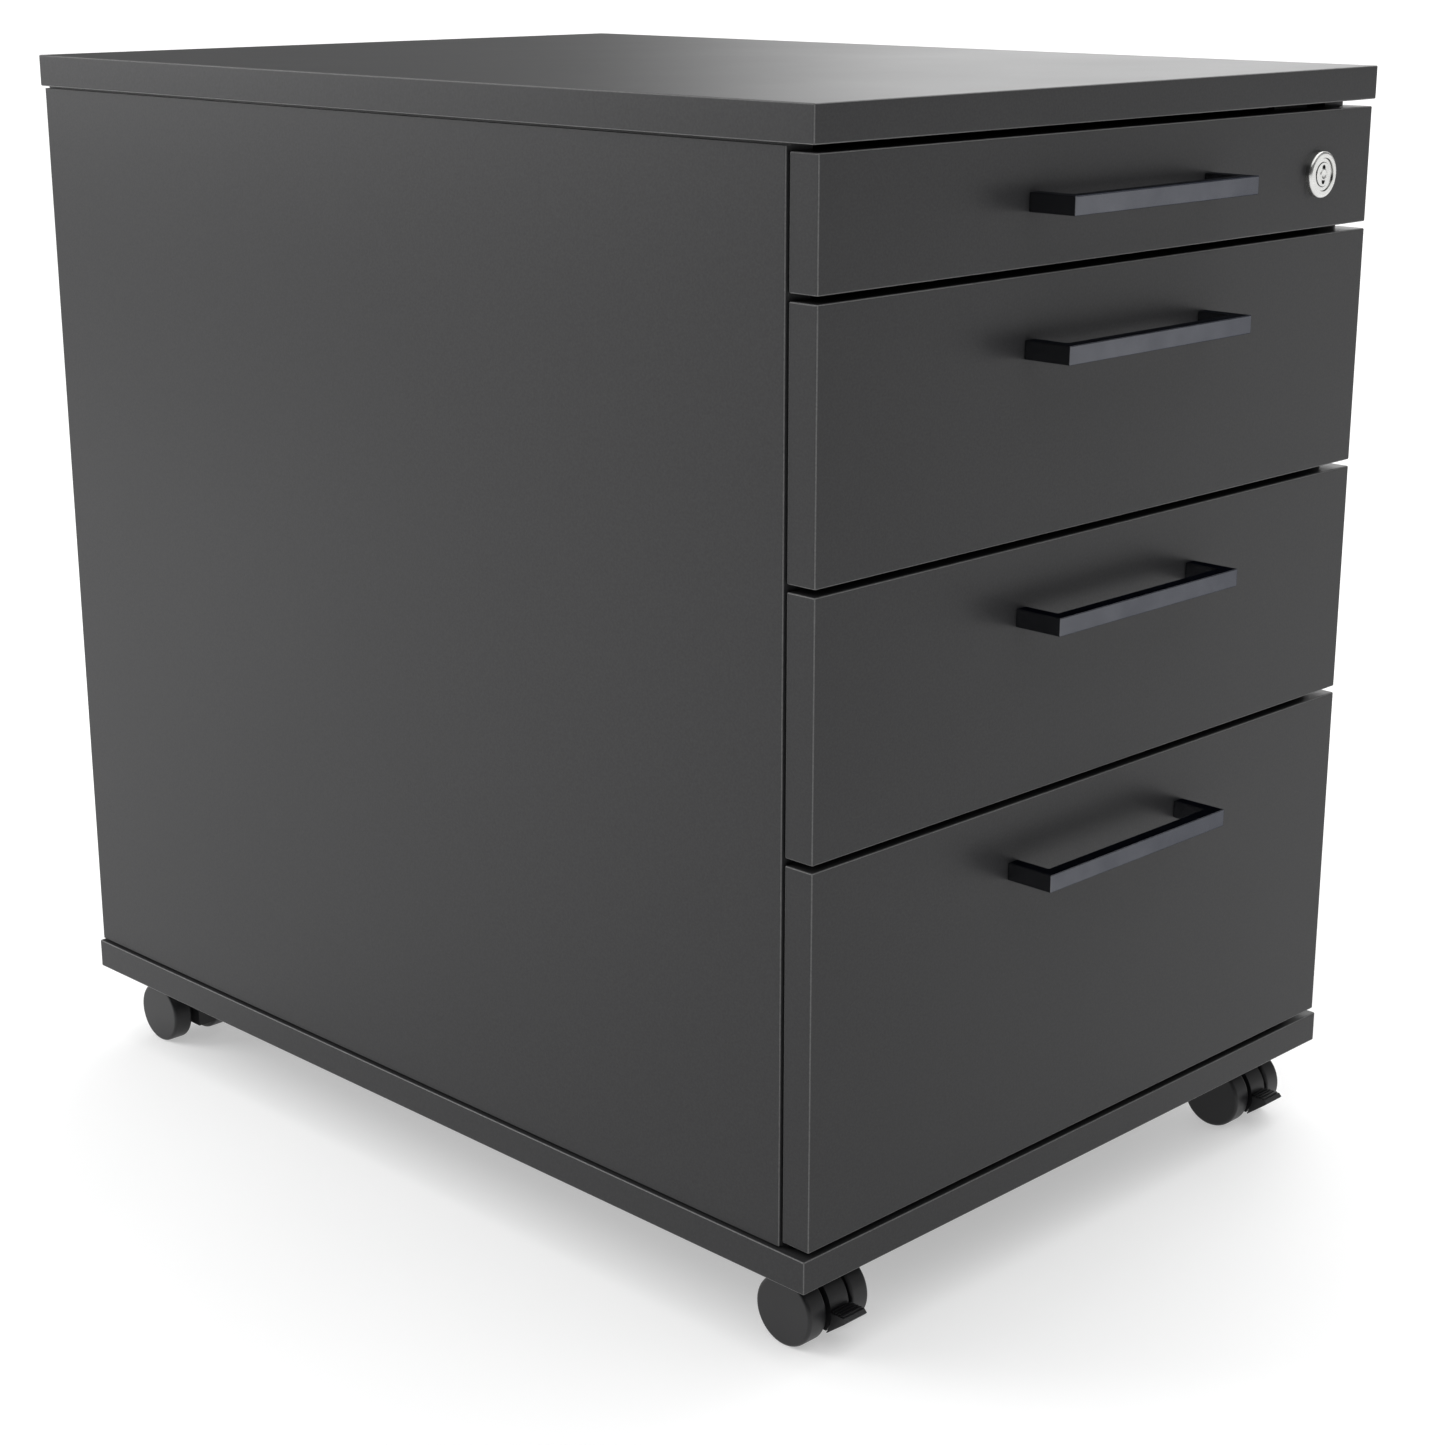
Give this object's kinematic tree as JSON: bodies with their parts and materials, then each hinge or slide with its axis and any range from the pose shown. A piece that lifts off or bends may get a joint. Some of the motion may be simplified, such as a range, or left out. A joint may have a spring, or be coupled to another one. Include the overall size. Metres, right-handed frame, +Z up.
{
  "type": "rolling pedestal cabinet",
  "caption": "Low rolling drawer pedestal in dark melamine board with bar handles, a cam lock with a locking bar, and swivel twin-wheel castors.",
  "frame": {"origin": "on the floor, under the middle of the whole outline with the handles included", "axes": "+Z up, the drawer fronts face -Y, +X to the right of someone facing the fronts"},
  "size_m": [0.43, 0.6226, 0.592],
  "materials": {
    "board_anthracite": "melamine-faced board, fine matt texture",
    "handle_black": "satin powder coat",
    "drawer_steel": "satin powder coat",
    "runner_zinc": "zinc plated",
    "blackened_steel": "black zinc plated",
    "fastener_steel": "zinc plated",
    "dowel_wood": "unfinished beech",
    "castor_plastic": "moulded nylon",
    "wheel_plastic": "moulded nylon",
    "lock_nickel": "bright nickel",
    "tray_plastic": "moulded polystyrene"
  },
  "bodies": {
    "cabinet": {"top_panel": "board_anthracite", "bottom_panel": "board_anthracite", "left_side_panel": "board_anthracite", "right_side_panel": "board_anthracite", "back_panel": "board_anthracite", "carcass_dowels": "dowel_wood", "carcass_cam_fittings": "fastener_steel", "carcass_screws": "fastener_steel", "locking_bar_screws": "fastener_steel", "castor_screws": "fastener_steel", "cabinet_runners_left": "runner_zinc", "cabinet_runners_right": "runner_zinc", "strike_plate": "blackened_steel", "castor_plates": "runner_zinc"},
    "drawer_1": {"drawer_front_1": "board_anthracite", "drawer_box_1": "drawer_steel", "handle_1": "handle_black", "handle_screws_1": "fastener_steel", "drawer_runners_1": "runner_zinc", "lock_body": "lock_nickel", "pencil_tray": "tray_plastic"},
    "drawer_2": {"drawer_front_2": "board_anthracite", "drawer_box_2": "drawer_steel", "handle_2": "handle_black", "handle_screws_2": "fastener_steel", "drawer_runners_2": "runner_zinc", "locking_peg_2": "fastener_steel"},
    "drawer_3": {"drawer_front_3": "board_anthracite", "drawer_box_3": "drawer_steel", "handle_3": "handle_black", "handle_screws_3": "fastener_steel", "drawer_runners_3": "runner_zinc", "locking_peg_3": "fastener_steel"},
    "drawer_4": {"drawer_front_4": "board_anthracite", "drawer_box_4": "drawer_steel", "handle_4": "handle_black", "handle_screws_4": "fastener_steel", "drawer_runners_4": "runner_zinc", "locking_peg_4": "fastener_steel"},
    "lock_core": {"lock_plug": "lock_nickel", "lock_lever": "fastener_steel"},
    "locking_bar": {"locking_bar": "blackened_steel"},
    "castor_front_left": {"castor_hood_front_left": "castor_plastic", "castor_axle_front_left": "fastener_steel"},
    "wheel_front_left_left": {"castor_wheel_front_left_left": "wheel_plastic"},
    "wheel_front_left_right": {"castor_wheel_front_left_right": "wheel_plastic"},
    "brake_front_left": {"brake_lever_front_left": "castor_plastic"},
    "castor_front_right": {"castor_hood_front_right": "castor_plastic", "castor_axle_front_right": "fastener_steel"},
    "wheel_front_right_left": {"castor_wheel_front_right_left": "wheel_plastic"},
    "wheel_front_right_right": {"castor_wheel_front_right_right": "wheel_plastic"},
    "brake_front_right": {"brake_lever_front_right": "castor_plastic"},
    "castor_rear_left": {"castor_hood_rear_left": "castor_plastic", "castor_axle_rear_left": "fastener_steel"},
    "wheel_rear_left_left": {"castor_wheel_rear_left_left": "wheel_plastic"},
    "wheel_rear_left_right": {"castor_wheel_rear_left_right": "wheel_plastic"},
    "castor_rear_right": {"castor_hood_rear_right": "castor_plastic", "castor_axle_rear_right": "fastener_steel"},
    "wheel_rear_right_left": {"castor_wheel_rear_right_left": "wheel_plastic"},
    "wheel_rear_right_right": {"castor_wheel_rear_right_right": "wheel_plastic"}
  },
  "joints": [
    {"name": "drawer_1_slide", "type": "slide", "parent": "cabinet", "child": "drawer_1", "axis": [0, -1, 0], "range_m": [0, 0.38]},
    {"name": "drawer_2_slide", "type": "slide", "parent": "cabinet", "child": "drawer_2", "axis": [0, -1, 0], "range_m": [0, 0.38]},
    {"name": "drawer_3_slide", "type": "slide", "parent": "cabinet", "child": "drawer_3", "axis": [0, -1, 0], "range_m": [0, 0.38]},
    {"name": "drawer_4_slide", "type": "slide", "parent": "cabinet", "child": "drawer_4", "axis": [0, -1, 0], "range_m": [0, 0.38]},
    {"name": "lock_turn", "type": "hinge", "parent": "drawer_1", "child": "lock_core", "pos_m": [0.1647, -0.28465, 0.5394], "axis": [0, 1, 0], "range_deg": [0, 90]},
    {"name": "locking_bar_slide", "type": "slide", "parent": "cabinet", "child": "locking_bar", "axis": [0, 0, 1], "range_m": [0, 0.01]},
    {"name": "castor_front_left_swivel", "type": "hinge", "parent": "cabinet", "child": "castor_front_left", "pos_m": [-0.1775, -0.24165, 0.042], "axis": [0, 0, 1], "continuous": true},
    {"name": "wheel_front_left_left_spin", "type": "hinge", "parent": "castor_front_left", "child": "wheel_front_left_left", "pos_m": [-0.1775, -0.25565, 0.0182], "axis": [1, 0, 0], "continuous": true},
    {"name": "wheel_front_left_right_spin", "type": "hinge", "parent": "castor_front_left", "child": "wheel_front_left_right", "pos_m": [-0.1775, -0.25565, 0.0182], "axis": [1, 0, 0], "continuous": true},
    {"name": "brake_front_left_press", "type": "hinge", "parent": "castor_front_left", "child": "brake_front_left", "pos_m": [-0.1775, -0.26715, 0.014], "axis": [1, 0, 0], "range_deg": [0, 10]},
    {"name": "castor_front_right_swivel", "type": "hinge", "parent": "cabinet", "child": "castor_front_right", "pos_m": [0.1775, -0.24165, 0.042], "axis": [0, 0, 1], "continuous": true},
    {"name": "wheel_front_right_left_spin", "type": "hinge", "parent": "castor_front_right", "child": "wheel_front_right_left", "pos_m": [0.1775, -0.25565, 0.0182], "axis": [1, 0, 0], "continuous": true},
    {"name": "wheel_front_right_right_spin", "type": "hinge", "parent": "castor_front_right", "child": "wheel_front_right_right", "pos_m": [0.1775, -0.25565, 0.0182], "axis": [1, 0, 0], "continuous": true},
    {"name": "brake_front_right_press", "type": "hinge", "parent": "castor_front_right", "child": "brake_front_right", "pos_m": [0.1775, -0.26715, 0.014], "axis": [1, 0, 0], "range_deg": [0, 10]},
    {"name": "castor_rear_left_swivel", "type": "hinge", "parent": "cabinet", "child": "castor_rear_left", "pos_m": [-0.1775, 0.26235, 0.042], "axis": [0, 0, 1], "continuous": true},
    {"name": "wheel_rear_left_left_spin", "type": "hinge", "parent": "castor_rear_left", "child": "wheel_rear_left_left", "pos_m": [-0.1775, 0.27635, 0.0182], "axis": [1, 0, 0], "continuous": true},
    {"name": "wheel_rear_left_right_spin", "type": "hinge", "parent": "castor_rear_left", "child": "wheel_rear_left_right", "pos_m": [-0.1775, 0.27635, 0.0182], "axis": [1, 0, 0], "continuous": true},
    {"name": "castor_rear_right_swivel", "type": "hinge", "parent": "cabinet", "child": "castor_rear_right", "pos_m": [0.1775, 0.26235, 0.042], "axis": [0, 0, 1], "continuous": true},
    {"name": "wheel_rear_right_left_spin", "type": "hinge", "parent": "castor_rear_right", "child": "wheel_rear_right_left", "pos_m": [0.1775, 0.27635, 0.0182], "axis": [1, 0, 0], "continuous": true},
    {"name": "wheel_rear_right_right_spin", "type": "hinge", "parent": "castor_rear_right", "child": "wheel_rear_right_right", "pos_m": [0.1775, 0.27635, 0.0182], "axis": [1, 0, 0], "continuous": true}
  ],
  "couplings": [
    {"joint": "locking_bar_slide", "follows": "lock_turn", "m_per_rad": 0.006366}
  ]
}
